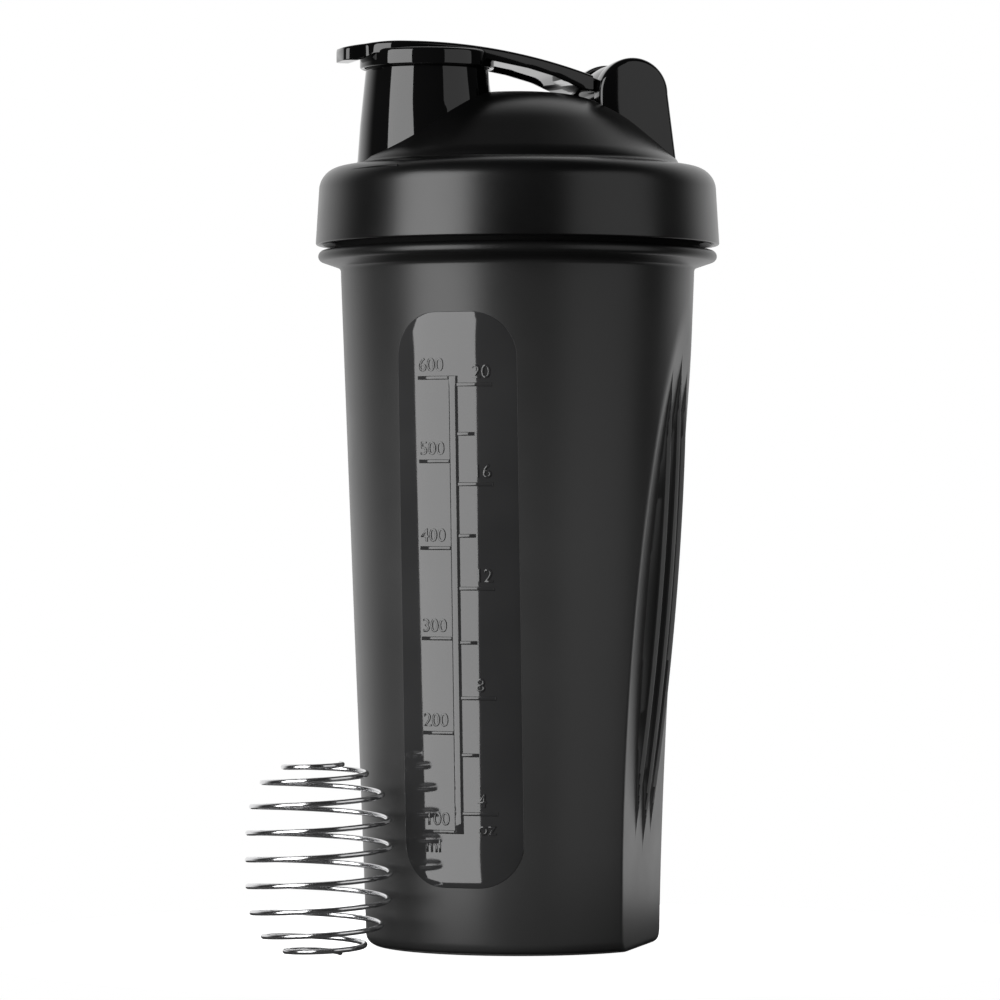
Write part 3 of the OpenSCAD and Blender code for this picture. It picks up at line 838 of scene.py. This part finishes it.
# ---------------------------------------------------------------- stage and lights
def make_floor():
    """A small white disc, dark to every ray but the camera's."""
    mesh = bpy.data.meshes.new("floor")
    n, size = 96, 0.14
    mesh.from_pydata([(size * math.cos(2 * math.pi * i / n), size * math.sin(2 * math.pi * i / n), -0.0001)
                      for i in range(n)], [], [tuple(range(n))])
    floor = bpy.data.objects.new("floor", mesh)
    scene.collection.objects.link(floor)
    material = new_material("floor_paper", (0.9, 0.9, 0.9), 0.9)
    shader = material.node_tree.nodes["Principled BSDF"]
    shader.inputs["Specular IOR Level"].default_value = 0.0
    shader.inputs["Emission Color"].default_value = (1, 1, 1, 1)
    seen = node(material, "ShaderNodeLightPath").outputs["Is Camera Ray"]
    glow = node(material, "ShaderNodeMapRange", Value=seen, To_Min=0.0, To_Max=1.0)
    paper = node(material, "ShaderNodeMapRange", Value=seen, To_Min=0.10, To_Max=0.9)
    material.node_tree.links.new(glow.outputs["Result"], shader.inputs["Emission Strength"])
    material.node_tree.links.new(paper.outputs["Result"], shader.inputs["Base Color"])
    mesh.materials.append(material)


def soft_box(name, turn, distance, width, low, high, radiance):
    """An upright panel of light facing the bottle, turn degrees to the right of the camera."""
    data = bpy.data.lights.new(name, "AREA")
    data.shape, data.size, data.size_y = "RECTANGLE", width, high - low
    data.energy = radiance * math.pi * width * (high - low)
    lamp = bpy.data.objects.new(name, data)
    scene.collection.objects.link(lamp)
    a = VIEW_TURN + math.radians(turn)
    out = Vector((math.sin(a), -math.cos(a), 0))
    lamp.location = out * distance + Vector((0, 0, (low + high) / 2))
    lamp.rotation_euler = (out).to_track_quat("Z", "Y").to_euler()
    lamp.visible_camera = False
    return lamp


def make_world():
    """White to the camera; for light, bright behind the bottle and dim in front and overhead."""
    world = bpy.data.worlds.new("studio")
    scene.world = world
    world.use_nodes = True
    tree = world.node_tree
    tree.nodes.clear()
    place = tree.nodes.new("ShaderNodeTexCoord").outputs["Generated"]
    facing = tree.nodes.new("ShaderNodeVectorMath")
    facing.operation = "DOT_PRODUCT"
    tree.links.new(place, facing.inputs[0])
    facing.inputs[1].default_value = -VIEW_BACK
    ramp = tree.nodes.new("ShaderNodeMapRange")
    ramp.inputs["From Min"].default_value, ramp.inputs["From Max"].default_value = 0.25, 0.75
    ramp.inputs["To Min"].default_value, ramp.inputs["To Max"].default_value = 0.03, 1.0
    ramp.interpolation_type = "SMOOTHSTEP"
    tree.links.new(facing.outputs["Value"], ramp.inputs["Value"])
    seen = tree.nodes.new("ShaderNodeLightPath").outputs["Is Camera Ray"]
    pick = tree.nodes.new("ShaderNodeMix")
    tree.links.new(seen, pick.inputs[0])
    tree.links.new(ramp.outputs["Result"], pick.inputs[2])
    pick.inputs[3].default_value = 1.0
    background = tree.nodes.new("ShaderNodeBackground")
    background.inputs["Color"].default_value = (1, 1, 1, 1)
    tree.links.new(pick.outputs[0], background.inputs["Strength"])
    output = tree.nodes.new("ShaderNodeOutputWorld")
    tree.links.new(background.outputs["Background"], output.inputs["Surface"])


# ---------------------------------------------------------------- put together
make_camera()
make_floor()
make_world()
soft_box("left_box", -48, 0.55, 0.435, -0.1, 0.6, 5.2)
soft_box("right_box", 55, 0.55, 0.54, -0.1, 0.6, 0.8)
scene.view_settings.view_transform = "Standard"

SMOKE = smoke_plastic()
WINDOW = gloss_plastic("smoke_polished", (0.023, 0.023, 0.0235), (0.028, 0.028, 0.0285), 0.05)
SATIN = satin_plastic("black_satin", (0.0014, 0.0014, 0.00145), (0.002, 0.002, 0.0021), 0.30)
GLOSS = gloss_plastic("black_polished", (0.0020, 0.0020, 0.0021), (0.0028, 0.0028, 0.0029), 0.04)
SILICONE = silicone()
STEEL = drawn_steel()


def dress(obj, material, body, replaced=()):
    """Gives a piece its material and body, and hides the CAD nodes it replaces."""
    obj.data.materials.clear()
    obj.data.materials.append(material)
    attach(obj, body)
    if replaced:
        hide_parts(*replaced)


cup = join("cup_shell", [cup_shell(), thread("cup_thread", NECK_R, 1, 1.25, RIM_Z - 13.8)])
dress(cup, SMOKE, "cup", ["cup"])
dress(window_panel(), WINDOW, "cup")
dress(scale_marks(), WINDOW, "cup")
dress(scale_numerals(), WINDOW, "cup")

collar = join("lid_collar_and_dome", [lid_body(), thread("lid_thread", COLLAR_IN_R, -1, 1.1, RIM_Z - 9.3)])
dress(collar, SATIN, "lid", ["lid"])
spout = join("lid_spout_and_ears", [spout_tube(), ear(1), ear(-1)])
dress(spout, GLOSS, "lid")

dress(flip_cap_body(), GLOSS, "flip_cap", ["flip_cap"])
dress(spout_seal(), SILICONE, "flip_cap", ["spout_seal"])
dress(lid_gasket(), SILICONE, "gasket", ["lid_gasket"])
dress(whisk_ball(), STEEL, "whisk_ball", ["whisk_ball"])
